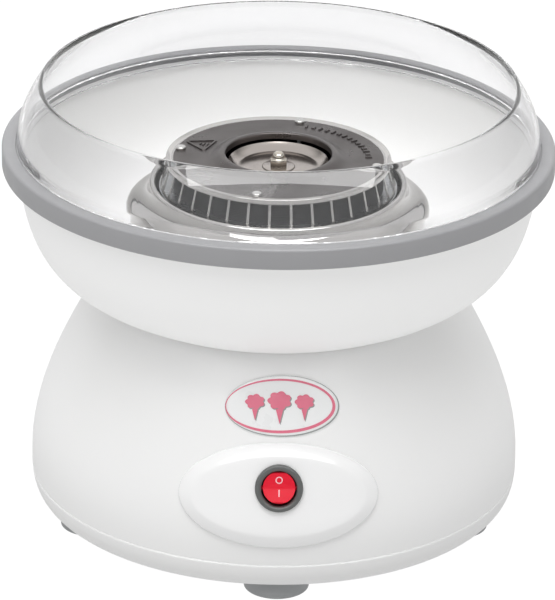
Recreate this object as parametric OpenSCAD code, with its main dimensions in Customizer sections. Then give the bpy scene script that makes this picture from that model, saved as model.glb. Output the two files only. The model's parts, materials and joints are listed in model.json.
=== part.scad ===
// Cotton candy machine: a waisted plastic base with a motor and heater inside, a spinning head in a polished
// shroud, a bowl that lifts off and a clear guard that lifts off the bowl. The origin is on the axis, on the
// surface under the feet. +Z is up and the switch faces -Y.

/* [Bowl and guard] */
// Outer radius of the grey ring on the bowl
ring_r = 136.2; // [135:0.1:138]
// Height of the ring's flat top
ring_top = 195.5; // [194.5:0.1:196.5]
// Height of the ring's outer band
ring_band_h = 10.5; // [9.5:0.1:11.5]
// Height of the clear guard above the ring
guard_h = 31.1; // [27:0.1:36]
// Wall thickness of the guard
guard_wall = 2.4; // [2:0.1:2.8]
// Radius of the guard's lip
guard_lip_r = 117.5; // [114:0.1:121]
// Radius of the hole in the bowl's floor
bowl_hole_r = 77; // [76.6:0.1:79]

/* [Base] */
// Largest radius of the housing
base_r = 122.4; // [121.5:0.1:123.5]
// Radius of the neck under the bowl
neck_r = 89.5; // [88:0.1:91]
// Height of the housing's roof
roof_z = 121.3; // [120.5:0.1:121.4]
// Wall thickness of the housing
base_wall = 3; // [2.4:0.1:3.4]
// Height of the parting line between the housing and the bottom cover
seam_z = 24; // [23:0.5:26]
// Height of the feet below the bottom cover
foot_h = 11; // [10:0.5:11.5]
// Radius of each foot
foot_r = 16; // [14:0.5:17]
// Radius of the circle that the feet stand on
foot_circle_r = 96; // [92:0.5:96]
// Number of feet
foot_count = 5; // [4:1:6]

/* [Control panel and badge] */
// Width of the oval panel
panel_w = 96.4; // [90:0.2:100]
// Height of the oval panel along its slope
panel_h = 51.4; // [46:0.2:54]
// How far the panel stands out of the housing
panel_t = 4; // [3:0.1:5]
// Width of the oval badge
badge_w = 55.2; // [48:0.2:58]
// Height of the oval badge along its slope
badge_h = 29.6; // [26:0.2:31]
// Outer radius of the switch bezel
bezel_r = 11.5; // [11:0.1:12.5]
// Radius of the rocker seen from the front
rocker_r = 7.75; // [7.4:0.05:7.8]
// Angle that the rocker turns from off to on
rocker_throw = 18; // [14:1:18]

/* [Spinning head] */
// Radius of the head's cover plate
cover_r = 52; // [51:0.1:52.2]
// Radius of the hole that sugar goes in through
sugar_hole_r = 26.3; // [25.5:0.1:27]
// Outer radius of the slotted band at its foot
band_r = 58.4; // [57.5:0.1:58.6]
// Number of slots in the band
slot_count = 34; // [28:1:40]
// Number of rivets through the cover
rivet_count = 4; // [3:1:6]
// Radius of the motor shaft
shaft_r = 3; // [2.5:0.1:3.2]

/* [Heater shroud] */
// Largest radius of the polished shroud
shroud_r = 75.2; // [74.6:0.1:75.4]
// Thickness of the shroud's sheet
shroud_t = 0.8; // [0.6:0.1:1]
// Radius of the heater ring
heater_r = 48; // [46:0.5:49]

/* [Hidden] */
$fn = 96;
eps = 0.01;

// Fits
fit_gap = 0.1;
running_gap = 0.05;

// Bowl
bowl_foot_z = 121.5;
bowl_foot_r = 90.2;
bowl_lip_h = 6;
ring_under = ring_top - ring_band_h;
seat_r = 129.1;
seat_z = ring_top - 0.6;
ring_inner_r = 127.8;
skirt_z = ring_top - 4.5;

// Housing
tower_r = 71;
tower_wall = 3.5;
tower_top = 132;
deck_t = 3;
deck_hole_r = 54;
boss_circle_r = 106;
boss_turns = [18, 162, 234, 306];
plate_t = 2.5;
plate_boss_z = 16.5;
inlet_z = 38;
inlet_bore_r = 3.6;

// Panel frame: the slope of the housing at the middle of the panel, and that point
panel_tilt = 15.5;
panel_y = -118.1;
panel_z = 59.2;
switch_up = 4.45;
// Badge frame
badge_tilt = 27.6;
badge_y = -101.6;
badge_z = 99.2;
badge_turn = 0.8;
badge_t = 0.6;

// Switch, in its own frame with z out of the panel's face
bezel_h = 1.8;
bezel_seat = -0.55;
barrel_r = 10;
barrel_depth = 16;
well_r = 8.6;
well_floor = -9;
pivot_z = -2.5;
pin_r = 1.2;
rocker_slope = rocker_throw / 2;
rocker_mid_h = 3.4;
rocker_low_h = -2.7;
rocker_swing_r = 8.25;
o_up = 3.65;
i_down = 2.7;
o_outer_r = 1.75;
o_inner_r = 1.2;
i_w = 0.6;
i_h = 3.4;
mark_depth = 0.3;

// Motor
stack_z = 78;
stack_h = 24;
stator_w = 66;
stator_d = 56;
bore_r = 16;
rotor_r = 15.5;
bolt_x = 28.6;
bolt_y = 23.8;
bolt_r = 2;
bracket_z = 112.4;
bracket_t = 1.6;
mount_circle_r = 60;
mount_count = 3;
hub_r = 8.5;
bearing_r = 6;
lower_z = 52;
commutator_z = 58;
commutator_h = 11;
commutator_r = 9;
brush_z = 63.5;
fan_z = 34;
fan_r = 34;
fan_blades = 9;
shaft_foot_z = 30;
upper_hub_z = 107;
lower_hub_z = 48.5;
hub_h = 9.5;
lower_hub_h = 8.5;
bearing_h = 8;
rubber_r = 6.5;
rubber_neck_r = 4;
boss_foot_z = 118;

// Head
pan_z = 171;
pan_t = 1.2;
band_top_z = 184.8;
band_top_r = 55;
cover_z = 185.2;
cover_t = 1.3;
rivet_circle_r = 49.5;
rivet_turn = 76.7;
screen_r = 51.5;
dish_floor_z = 181.4;
dish_t = 0.7;
nut_z = 182.7;
stud_r = 2.4;
stud_top = 187.3;
washer_r = 8.2;
nut_r = 4.6;
nut_hex_h = 3.6;
nut_dome_r = 3.5;

// Heater
shield_z = 132.8;
shield_t = 1;
heater_z = 161.6;
heater_tube_r = 3.2;
heater_gap = 15;
clip_count = 3;
clip_w = 6;
clip_t = 1.2;
shroud_screw_r = 63.5;
shroud_screw_count = 4;
shroud_screw_turn = 45;

// Points of a cubic curve from its four control points
function cubic(p, n = 16) = [for (i = [0:n]) let (t = i / n, s = 1 - t)
    s * s * s * p[0] + 3 * s * s * t * p[1] + 3 * s * t * t * p[2] + t * t * t * p[3]];
// Points of an arc about c
function arc(c, r, a0, a1, n = 8) = [for (i = [0:n]) let (a = a0 + (a1 - a0) * i / n) c + r * [cos(a), sin(a)]];
function reversed(p) = [for (i = [len(p) - 1:-1:0]) p[i]];
// A path moved sideways by d, to the left of its own direction
function shifted(p, d) = [for (i = [0:len(p) - 1])
    let (a = p[max(i - 1, 0)], b = p[min(i + 1, len(p) - 1)], t = (b - a) / norm(b - a)) p[i] + d * [-t[1], t[0]]];

// Outline of the housing from the neck down to the parting line
housing_side = concat(
    cubic([[neck_r, roof_z - 0.4], [neck_r + 13.5, 97.2], [base_r, 63.7], [base_r, 30.5]], 22),
    [[base_r, seam_z]]);
// Outline of the bottom cover from the parting line to its foot
cover_side = cubic([[base_r, seam_z], [base_r - 0.15, seam_z - 5], [base_r - 1, foot_h + 2.8], [base_r - 4.9, foot_h]], 10);
// Outline of the bowl's outside, from under the ring down to its foot
bowl_side = cubic([[ring_r - 7.7, ring_under], [ring_r - 10.22, 157.5], [ring_r - 15.64, 133.83], [91.26, 122.73]], 22);
// Outline of the bowl's inside, from the floor up to the rim
bowl_inside = cubic([[91, 125.3], [ring_r - 17.2, 136], [ring_r - 11.6, 160], [ring_r - 8.6, ring_top - 3]], 22);
// Outline of the guard's outside, from the ring up to the lip
guard_side = cubic([[seat_r - 0.3, ring_top + 0.5], [seat_r - 0.3, ring_top + 12.5],
    [guard_lip_r + 6.7, ring_top + guard_h - 10.4], [guard_lip_r, ring_top + guard_h - 0.5]], 18);
// Outline of the shroud's outside, from its foot up over the shoulder to the rolled lip
shroud_side = concat(
    [[73, tower_top + 0.2], [73.4, 140]],
    [[shroud_r - 0.4, 149], [shroud_r, 154]],
    cubic([[shroud_r, 160.5], [shroud_r, 163.4], [shroud_r - 2.6, 163.6], [shroud_r - 5.2, 164.6]], 8),
    cubic([[shroud_r - 5.6, 164.8], [shroud_r - 8.6, 166], [64.2, 168.2], [64, 172.6]], 8),
    arc([62.3, 173.5], 1.7, 0, 180, 8),
    [[60.6, 168]]);

module turned(points) {
    rotate_extrude() polygon(points);
}

module tube(r_out, r_in, z0, h) {
    translate([0, 0, z0]) difference() {
        cylinder(r = r_out, h = h);
        translate([0, 0, -eps]) cylinder(r = r_in, h = h + 2 * eps);
    }
}

// Repeats its children round the axis, each with its own +X pointing outwards
module around(count, radius, turn = 0) {
    for (i = [0:count - 1])
        rotate([0, 0, turn + i * 360 / count]) translate([radius, 0, 0]) children();
}

// Repeats its children at the listed turns round the axis
module at_turns(turns, radius) {
    for (turn = turns)
        rotate([0, 0, turn]) translate([radius, 0, 0]) children();
}

// A frame on the front of the housing: x across, y up the slope, z out
module on_front(y, z, tilt) {
    translate([0, y, z]) rotate([90 - tilt, 0, 0]) children();
}

// The switch's frame, on the panel's face
module at_switch() {
    on_front(panel_y, panel_z, panel_tilt) translate([0, switch_up, panel_t]) children();
}

module oval_prism(w, h, z0, length) {
    points = [for (i = [0:71]) [w / 2 * cos(5 * i), h / 2 * sin(5 * i)]];
    translate([0, 0, z0]) linear_extrude(length) polygon(points);
}

// A skin that follows the housing's side, from d0 to d1 outside it
module housing_skin(d0, d1) {
    turned(concat(shifted(housing_side, d1), reversed(shifted(housing_side, d0))));
}

module housing_solid() {
    turned(concat([[0, roof_z]], [[neck_r - 1.5, roof_z]], housing_side, [[0, seam_z]]));
}

module screw(head_r, head_h, shank_r, length) {
    cylinder(r = head_r, h = head_h);
    translate([0, 0, head_h - eps]) cylinder(r = shank_r, h = length + eps);
}

// Base

module base_housing() {
    color("whitesmoke") difference() {
        union() {
            turned(concat(
                [[tower_r, roof_z], [neck_r - 1.5, roof_z]],
                housing_side,
                reversed(shifted(housing_side, -base_wall)),
                [[neck_r - 6, roof_z - 3.5], [tower_r - tower_wall, roof_z - 3.5],
                 [tower_r - tower_wall, tower_top - deck_t], [deck_hole_r, tower_top - deck_t],
                 [deck_hole_r, tower_top], [tower_r, tower_top]]));
            intersection() {
                at_turns(boss_turns, boss_circle_r)
                    translate([0, 0, plate_boss_z]) cylinder(r = 5, h = 76);
                housing_solid();
            }
            around(mount_count, mount_circle_r, 90)
                translate([0, 0, boss_foot_z]) cylinder(r = 6, h = tower_top - boss_foot_z - 1);
            around(shroud_screw_count, shroud_screw_r, shroud_screw_turn)
                translate([0, 0, 120]) cylinder(r = 3.8, h = tower_top - 120 - 1);
        }
        at_turns(boss_turns, boss_circle_r)
            translate([0, 0, plate_boss_z - 1]) cylinder(r = 1.5, h = 22);
        around(mount_count, mount_circle_r, 90)
            translate([0, 0, boss_foot_z - 1]) cylinder(r = 1.6, h = 11);
        around(shroud_screw_count, shroud_screw_r, shroud_screw_turn)
            translate([0, 0, 122]) cylinder(r = 1.4, h = 20);
        at_switch() translate([0, 0, -20]) cylinder(r = barrel_r + fit_gap, h = 30);
        translate([0, 0, inlet_z]) rotate([-90, 0, 0]) {
            translate([0, 0, 100]) cylinder(r = 6.5, h = 30);
            translate([0, 0, 121.4]) cylinder(r = 8.6, h = 10);
        }
    }
}

module base_plate() {
    lip_r = base_r - base_wall - 0.2;
    color("whitesmoke") difference() {
        union() {
            turned(concat(
                cover_side,
                [[0, foot_h], [0, foot_h + plate_t], [lip_r - 3, foot_h + plate_t], [lip_r - 2, seam_z + 4],
                 [lip_r, seam_z + 4], [lip_r, seam_z]]));
            around(foot_count, foot_circle_r, -90)
                translate([0, 0, foot_h]) cylinder(r = 8, h = 7);
            at_turns(boss_turns, boss_circle_r)
                translate([0, 0, foot_h]) cylinder(r = 6, h = plate_boss_z - foot_h);
        }
        around(foot_count, foot_circle_r, -90)
            translate([0, 0, foot_h - 1]) cylinder(r = 2, h = 10);
        at_turns(boss_turns, boss_circle_r) {
            translate([0, 0, foot_h - 1]) cylinder(r = 1.9, h = 10);
            translate([0, 0, foot_h - 1]) cylinder(r = 4, h = 4.2);
        }
        around(18, 14)
            translate([0, -1.7, foot_h - 1]) cube([20, 3.4, plate_t + 2]);
        around(30, 58)
            translate([0, -1.7, foot_h - 1]) cube([20, 3.4, plate_t + 2]);
    }
}

module suction_feet() {
    color("slategray") around(foot_count, foot_circle_r, -90) difference() {
        turned(concat(
            [[0, 0], [foot_r - 0.8, 0]],
            arc([foot_r - 0.8, 0.8], 0.8, -90, 0, 4),
            [[foot_r, 4.5], [foot_r - 1.6, foot_h - 1], [foot_r - 2.4, foot_h], [0, foot_h]]));
        translate([0, 0, -1]) cylinder(r = foot_r - 4.5, h = 2.5);
        translate([0, 0, -1]) cylinder(r = 4.2, h = 6);
        translate([0, 0, -1]) cylinder(r = 2, h = foot_h + 2);
    }
}

module foot_screws() {
    color("silver") around(foot_count, foot_circle_r, -90)
        translate([0, 0, 2.4]) screw(3.8, 2.6, 2, 15);
}

module base_screws() {
    color("silver") at_turns(boss_turns, boss_circle_r)
        translate([0, 0, foot_h + 0.9]) screw(3.6, 2.3, 1.5, 20);
}

module control_panel() {
    color("white") difference() {
        intersection() {
            housing_skin(0, panel_t);
            on_front(panel_y, panel_z, panel_tilt) oval_prism(panel_w, panel_h, -20, 40);
        }
        at_switch() {
            translate([0, 0, -20]) cylinder(r = barrel_r + fit_gap, h = 40);
            translate([0, 0, bezel_seat]) cylinder(r = bezel_r + fit_gap, h = 10);
        }
    }
}

module badge() {
    color("lightgray") intersection() {
        housing_skin(0, badge_t);
        rotate([0, 0, badge_turn]) on_front(badge_y, badge_z, badge_tilt) oval_prism(badge_w, badge_h, -20, 40);
    }
}

module switch_body() {
    color("dimgray") at_switch() difference() {
        union() {
            turned(concat(
                [[0, bezel_seat], [bezel_r, bezel_seat], [bezel_r, bezel_h - 1]],
                arc([bezel_r - 1, bezel_h - 1], 1, 0, 90, 5),
                [[0, bezel_h]]));
            translate([0, 0, -barrel_depth]) cylinder(r = barrel_r, h = barrel_depth);
        }
        translate([0, 0, well_floor]) cylinder(r = well_r, h = 20);
        translate([0, 0, pivot_z]) rotate([0, 90, 0])
            cylinder(r = pin_r + running_gap, h = 2 * barrel_r - 0.8, center = true);
    }
}

module switch_terminals() {
    color("goldenrod") at_switch() for (s = [-1, 1])
        translate([-2.4, s * 4 - 0.4, -barrel_depth - 9]) cube([4.8, 0.8, 9]);
}

module cord_inlet() {
    color("dimgray") translate([0, 0, inlet_z]) rotate([-90, 0, 0]) difference() {
        union() {
            translate([0, 0, 121.4]) cylinder(r = 8.5, h = 3.2);
            translate([0, 0, 113]) cylinder(r = 6.5, h = 9);
        }
        translate([0, 0, 110]) cylinder(r = inlet_bore_r, h = 20);
    }
}

// Heater

module heater_shroud() {
    color("silver") difference() {
        union() {
            turned(concat(shroud_side, reversed(shifted(shroud_side, shroud_t))));
            tube(73, 57, tower_top, shroud_t);
        }
        around(shroud_screw_count, shroud_screw_r, shroud_screw_turn)
            translate([0, 0, tower_top - 1]) cylinder(r = 1.7, h = 3);
    }
}

module heat_shield() {
    color("lightgray") difference() {
        union() {
            translate([0, 0, shield_z]) cylinder(r = 68, h = shield_t);
            tube(13, 12, shield_z, 9);
        }
        translate([0, 0, shield_z - 1]) cylinder(r = 12, h = 3);
        around(shroud_screw_count, shroud_screw_r, shroud_screw_turn)
            translate([0, 0, shield_z - 1]) cylinder(r = 1.7, h = 3);
        for (s = [-1, 1]) rotate([0, 0, 90 + s * heater_gap])
            translate([heater_r, 0, shield_z - 1]) cylinder(r = 5, h = 3);
    }
}

module shroud_screws() {
    color("silver") around(shroud_screw_count, shroud_screw_r, shroud_screw_turn)
        translate([0, 0, shield_z + shield_t + 2.2]) mirror([0, 0, 1]) screw(3, 2.2, 1.4, 11);
}

module heater_tube() {
    color("darkslategray") {
        rotate([0, 0, 90 + heater_gap]) translate([0, 0, heater_z])
            rotate_extrude(angle = 360 - 2 * heater_gap) translate([heater_r, 0]) circle(r = heater_tube_r);
        for (s = [-1, 1]) rotate([0, 0, 90 + s * heater_gap]) {
            translate([heater_r, 0, heater_z]) sphere(r = heater_tube_r);
            translate([heater_r, 0, 127]) cylinder(r = heater_tube_r, h = heater_z - 127);
            translate([heater_r, 0, 119]) cylinder(r = 1.2, h = 8.5);
        }
    }
}

module heater_bushes() {
    color("ivory") for (s = [-1, 1]) rotate([0, 0, 90 + s * heater_gap]) translate([heater_r, 0, 0]) {
        tube(5, heater_tube_r, 129, 10);
        tube(6.5, heater_tube_r, shield_z + shield_t, 3);
    }
}

module heater_clips() {
    color("silver") around(clip_count, heater_r, 150) difference() {
        union() {
            translate([heater_tube_r, -clip_w / 2, shield_z + shield_t])
                cube([clip_t, clip_w, heater_z - shield_z - shield_t]);
            translate([0, 0, heater_z]) rotate([90, 0, 0])
                cylinder(r = heater_tube_r + 1, h = clip_w, center = true);
            translate([0, -clip_w / 2, shield_z + shield_t]) cube([10, clip_w, clip_t]);
        }
        rotate([0, 0, -90]) translate([0, 0, heater_z]) rotate([0, 90, 0])
            translate([0, 0, -5]) cylinder(r = heater_tube_r + 0.2, h = 10);
    }
}

module thermostat() {
    color("gainsboro") translate([30, 0, 0]) {
        translate([0, 0, shield_z - 6]) cylinder(r = 8, h = 6);
        for (s = [-1, 1])
            translate([s * 5 - 0.4, -2.4, shield_z - 13]) cube([0.8, 4.8, 7.5]);
    }
}

module thermal_fuse() {
    color("khaki") translate([-30, 0, shield_z - 2.5]) rotate([90, 0, 0]) {
        translate([0, 0, -6]) cylinder(r = 2, h = 12);
        translate([0, 0, -14]) cylinder(r = 0.5, h = 28);
    }
}

// Motor

module motor_bracket() {
    color("silver") difference() {
        union() {
            translate([0, 0, bracket_z]) cylinder(r = 38, h = bracket_t);
            around(mount_count, 0, 90)
                translate([0, -9, bracket_z]) cube([mount_circle_r, 18, bracket_t]);
            around(mount_count, mount_circle_r, 90)
                translate([0, 0, bracket_z]) cylinder(r = 9, h = bracket_t);
            translate([0, 0, upper_hub_z]) cylinder(r = hub_r, h = hub_h);
            for (x = [-bolt_x, bolt_x], y = [-bolt_y, bolt_y])
                translate([x, y, stack_z + stack_h]) cylinder(r = 4, h = bracket_z - stack_z - stack_h);
        }
        translate([0, 0, 100]) cylinder(r = bearing_r, h = 20);
        around(mount_count, mount_circle_r, 90)
            translate([0, 0, bracket_z - 1]) cylinder(r = rubber_neck_r, h = 4);
        for (x = [-bolt_x, bolt_x], y = [-bolt_y, bolt_y])
            translate([x, y, 100]) cylinder(r = bolt_r, h = 20);
        around(6, 23, 30)
            translate([0, 0, bracket_z - 1]) cylinder(r = 5, h = 4);
    }
}

module rubber_mounts() {
    color("dimgray") around(mount_count, mount_circle_r, 90) {
        tube(rubber_r, 1.6, bracket_z + bracket_t, boss_foot_z - bracket_z - bracket_t);
        tube(rubber_neck_r, 1.6, bracket_z, bracket_t);
        tube(rubber_r, 1.6, bracket_z - 3, 3);
    }
}

module motor_screws() {
    color("silver") around(mount_count, mount_circle_r, 90)
        translate([0, 0, bracket_z - 5.4]) screw(5, 2.4, 1.6, 17);
}

module stator_core() {
    color("darkgray") difference() {
        translate([0, 0, stack_z]) linear_extrude(stack_h) difference() {
            union() {
                difference() {
                    intersection() {
                        square([stator_w, stator_d], center = true);
                        circle(r = 40);
                    }
                    square([50, 40], center = true);
                }
                for (s = [-1, 1])
                    translate([s * 21 - 5, -7]) square([10, 14]);
                intersection() {
                    difference() {
                        circle(r = 19.5);
                        circle(r = bore_r);
                    }
                    union() {
                        polygon([[0, 0], [30, -30], [30, 30]]);
                        polygon([[0, 0], [-30, -30], [-30, 30]]);
                    }
                }
            }
            circle(r = bore_r);
        }
        for (x = [-bolt_x, bolt_x], y = [-bolt_y, bolt_y])
            translate([x, y, stack_z - 1]) cylinder(r = bolt_r, h = stack_h + 2);
    }
}

module field_coils() {
    color("peru") for (s = [-1, 1]) difference() {
        translate([s * 22.3 - 2.3, -17, stack_z - 7]) cube([4.6, 34, stack_h + 14]);
        translate([s * 22.3 - 3, -7, stack_z]) cube([6, 14, stack_h]);
    }
}

module motor_bolts() {
    color("silver") for (x = [-bolt_x, bolt_x], y = [-bolt_y, bolt_y])
        translate([x, y, lower_z - 2.6]) screw(3.8, 2.6, bolt_r, bracket_z + bracket_t - lower_z);
}

module sleeve_bearing(z0, h) {
    color("darkkhaki") tube(bearing_r, shaft_r + running_gap, z0, h);
}

module upper_bearing() {
    sleeve_bearing(upper_hub_z + 0.5, bearing_h);
}

module lower_bearing() {
    sleeve_bearing(lower_hub_z + 0.5, bearing_h);
}

module lower_bracket() {
    color("silver") difference() {
        union() {
            translate([-stator_w / 2, -9, lower_z]) cube([stator_w, 18, 2]);
            for (x = [-bolt_x, bolt_x]) {
                translate([x - 4, -bolt_y - 4, lower_z]) cube([8, 2 * bolt_y + 8, 2]);
                for (y = [-bolt_y, bolt_y])
                    translate([x, y, lower_z]) cylinder(r = 4, h = stack_z - lower_z);
            }
            translate([-9, -28, lower_z]) cube([18, 56, 2]);
            translate([0, 0, lower_hub_z]) cylinder(r = hub_r, h = lower_hub_h);
        }
        translate([0, 0, 40]) cylinder(r = bearing_r, h = 30);
        for (x = [-bolt_x, bolt_x], y = [-bolt_y, bolt_y])
            translate([x, y, lower_z - 1]) cylinder(r = bolt_r, h = 40);
    }
}

module brush_holders() {
    color("goldenrod") for (s = [0, 180]) rotate([0, 0, s]) difference() {
        union() {
            translate([-4.5, 10.5, brush_z - 5]) cube([9, 16.5, 10]);
            translate([-4.5, 14, lower_z + 2]) cube([9, 10, brush_z - 5 - lower_z - 2]);
        }
        translate([-3.1, 10, brush_z - 3.6]) cube([6.2, 15.5, 7.2]);
    }
}

module carbon_brushes() {
    color("black") for (s = [0, 180]) rotate([0, 0, s]) {
        translate([-3, commutator_r + 0.3, brush_z - 3.5]) cube([6, 10, 7]);
    }
}

module suppression_capacitor() {
    color("gold") translate([40, 30, foot_h + plate_t]) cube([26, 12, 20]);
}

module terminal_block() {
    color("ivory") translate([-22, 78, foot_h + plate_t]) difference() {
        cube([30, 16, 15]);
        for (i = [0:2])
            translate([5 + 10 * i, -1, 7.5]) rotate([-90, 0, 0]) cylinder(r = 2, h = 18);
    }
}

// Rocker of the switch, drawn in the off position

module rocked() {
    at_switch() translate([0, 0, pivot_z]) rotate([-rocker_slope, 0, 0]) children();
}

// The rocker's marks as prisms that cut into its two sloping faces
module mark_prisms(z0, h) {
    translate([0, 0, rocker_mid_h]) {
        rotate([rocker_slope, 0, 0]) translate([0, o_up, z0]) difference() {
            cylinder(r = o_outer_r, h = h);
            translate([0, 0, -1]) cylinder(r = o_inner_r, h = h + 2);
        }
        rotate([-rocker_slope, 0, 0]) translate([-i_w / 2, -i_down - i_h / 2, z0]) cube([i_w, i_h, h]);
    }
}

module switch_rocker() {
    color("crimson") rocked() difference() {
        union() {
            intersection() {
                translate([0, 0, rocker_low_h]) cylinder(r = rocker_r, h = 9);
                rotate([0, 90, 0]) cylinder(r = rocker_swing_r, h = 20, center = true);
            }
            rotate([0, 90, 0]) cylinder(r = pin_r, h = 2 * barrel_r - 1.2, center = true);
        }
        translate([0, 0, rocker_mid_h]) {
            rotate([rocker_slope, 0, 0]) translate([-20, 0, 0]) cube([40, 20, 20]);
            rotate([-rocker_slope, 0, 0]) translate([-20, -20, 0]) cube([40, 20, 20]);
        }
        mark_prisms(-mark_depth, 2);
    }
}

module switch_marks() {
    color("mistyrose") rocked() mark_prisms(-mark_depth, mark_depth + 0.05);
}

// Turning parts

module motor_shaft() {
    color("silver") {
        translate([0, 0, shaft_foot_z]) cylinder(r = shaft_r, h = dish_floor_z - 0.2 - shaft_foot_z);
        translate([0, 0, dish_floor_z - 1]) cylinder(r = stud_r, h = stud_top - dish_floor_z + 1);
    }
}

module rotor_core() {
    color("gray") tube(rotor_r, shaft_r, stack_z, stack_h);
}

module rotor_winding() {
    color("peru") {
        tube(13.5, shaft_r, stack_z + stack_h, 4);
        tube(13.5, shaft_r, commutator_z + commutator_h + 0.5, stack_z - commutator_z - commutator_h - 0.5);
    }
}

module commutator() {
    color("chocolate") difference() {
        tube(commutator_r, shaft_r, commutator_z, commutator_h);
        around(16, commutator_r)
            translate([-1, -0.3, commutator_z + 1]) cube([3, 0.6, commutator_h]);
    }
}

module cooling_fan() {
    color("darkslategray") {
        tube(8, shaft_r, fan_z - 1, 13);
        tube(fan_r, 7, fan_z + 10, 1.2);
        around(fan_blades, 7)
            translate([0, -0.8, fan_z]) cube([fan_r - 8, 1.6, 10.5]);
    }
}

module spinner_pan() {
    color("silver") difference() {
        turned([[0, pan_z], [band_r + 0.4, pan_z], [band_r + 0.4, pan_z + pan_t], [10, pan_z + pan_t],
            [9, dish_floor_z], [0, dish_floor_z]]);
        translate([0, 0, pan_z - 1]) cylinder(r = shaft_r, h = 20);
    }
}

module spinner_screen() {
    color("dimgray") tube(screen_r + 0.5, screen_r, pan_z + pan_t, cover_z - pan_z - pan_t);
}

module spinner_band() {
    foot_z = pan_z + pan_t;
    slot = 360 / slot_count;
    color("silver") difference() {
        turned([[band_r - 0.9, foot_z], [band_r, foot_z], [band_top_r, band_top_z], [band_top_r - 0.9, band_top_z]]);
        for (i = [0:slot_count - 1]) rotate([0, 0, i * slot + 0.55])
            translate([0, 0, foot_z + 1]) rotate_extrude(angle = slot - 1.1)
                translate([50, 0]) square([20, band_top_z - foot_z - 2]);
    }
}

module spinner_rim() {
    color("gainsboro") turned(concat(
        [[cover_r, band_top_z], [band_top_r + 0.3, band_top_z]],
        arc([band_top_r - 0.7, band_top_z + 1.2], 1.2, -20, 100, 8),
        [[cover_r, band_top_z + 2.3]]));
}

module spinner_cover() {
    top = concat(
        [[cover_r, cover_z + cover_t], [38, cover_z + cover_t]],
        cubic([[36.5, cover_z + cover_t], [31.5, cover_z + cover_t], [30.5, 189.6], [sugar_hole_r + 1, 189.6]], 10),
        arc([sugar_hole_r + 0.8, 188.8], 0.8, 90, 180, 4));
    under = [[sugar_hole_r, 186.2], [sugar_hole_r + 1.2, 186.2], [sugar_hole_r + 1.4, 188.1], [29, 187.6],
        [32, 185.8], [37, cover_z], [cover_r, cover_z]];
    color("dimgray") difference() {
        turned(concat(top, under));
        around(rivet_count, rivet_circle_r, rivet_turn)
            translate([0, 0, 180]) cylinder(r = 1.5, h = 10);
    }
}

module head_rivets() {
    color("gainsboro") around(rivet_count, rivet_circle_r, rivet_turn) {
        translate([0, 0, pan_z + pan_t]) cylinder(r = 1.5, h = 14.6);
        translate([0, 0, cover_z + cover_t]) cylinder(r1 = 2.5, r2 = 1.7, h = 1.1);
    }
}

module sugar_dish() {
    path = concat([[9, dish_floor_z], [21, dish_floor_z]], [[24, dish_floor_z + 0.6], [sugar_hole_r - 0.8, dish_floor_z + 1.6]]);
    color("gainsboro") difference() {
        turned(concat([[0, dish_floor_z]], path, reversed(shifted(path, dish_t)), [[0, dish_floor_z + dish_t]]));
        translate([0, 0, dish_floor_z - 1]) cylinder(r = stud_r, h = 4);
    }
}

module cap_washer() {
    color("gainsboro") difference() {
        translate([0, 0, dish_floor_z + dish_t])
            cylinder(r1 = washer_r, r2 = washer_r - 0.6, h = nut_z - dish_floor_z - dish_t);
        translate([0, 0, dish_floor_z]) cylinder(r = stud_r, h = 4);
    }
}

module cap_nut() {
    color("gainsboro") difference() {
        union() {
            translate([0, 0, nut_z]) cylinder(r = nut_r, h = nut_hex_h, $fn = 6);
            translate([0, 0, nut_z + nut_hex_h]) cylinder(r = nut_dome_r + 0.2, h = 0.6);
            translate([0, 0, nut_z + nut_hex_h + 0.4]) sphere(r = nut_dome_r);
        }
        translate([0, 0, nut_z - 1]) cylinder(r = stud_r, h = stud_top + 0.4 - nut_z + 1);
    }
}

// Bowl and guard

module bowl() {
    color("white") turned(concat(
        [[ring_inner_r - 0.2, ring_top - 3.1], [ring_r - 2.8, ring_top - 3.1], [ring_r - 2.8, ring_under + 0.3],
         [ring_r - 7.7, ring_under + 0.3]],
        bowl_side,
        [[bowl_foot_r, bowl_foot_z], [bowl_hole_r, bowl_foot_z], [bowl_hole_r, bowl_foot_z + bowl_lip_h],
         [bowl_hole_r + 2, bowl_foot_z + bowl_lip_h], [bowl_hole_r + 2.6, bowl_foot_z + 3]],
        bowl_inside));
}

module rim_ring() {
    color("gray") turned(concat(
        [[ring_inner_r, ring_top - 3.1], [ring_inner_r, seat_z], [seat_r, seat_z], [seat_r + 0.4, ring_top]],
        arc([ring_r - 1.6, ring_top - 1.6], 1.6, 90, 0, 6),
        [[ring_r, ring_under + 0.5], [ring_r - 0.5, ring_under], [ring_r - 2.8, ring_under],
         [ring_r - 2.8, ring_top - 3.1]]));
}

module splash_guard() {
    lip = guard_side[len(guard_side) - 1];
    inner = shifted(guard_side, guard_wall);
    inner_lip = inner[len(inner) - 1];
    color("lightcyan", 0.4) turned(concat(
        [[ring_inner_r - 2.8, skirt_z], [ring_inner_r - 1, skirt_z], [ring_inner_r - 0.9, seat_z + 0.1],
         [seat_r - 0.3, seat_z + 0.1]],
        guard_side,
        arc((lip + inner_lip) / 2, guard_wall / 2, 20, 200, 8),
        reversed([for (p = inner) if (p[1] > ring_top + 3 && p[1] < lip[1] - 2) p]),
        [[ring_inner_r - 2.8, ring_top - 0.5]]));
}

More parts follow.
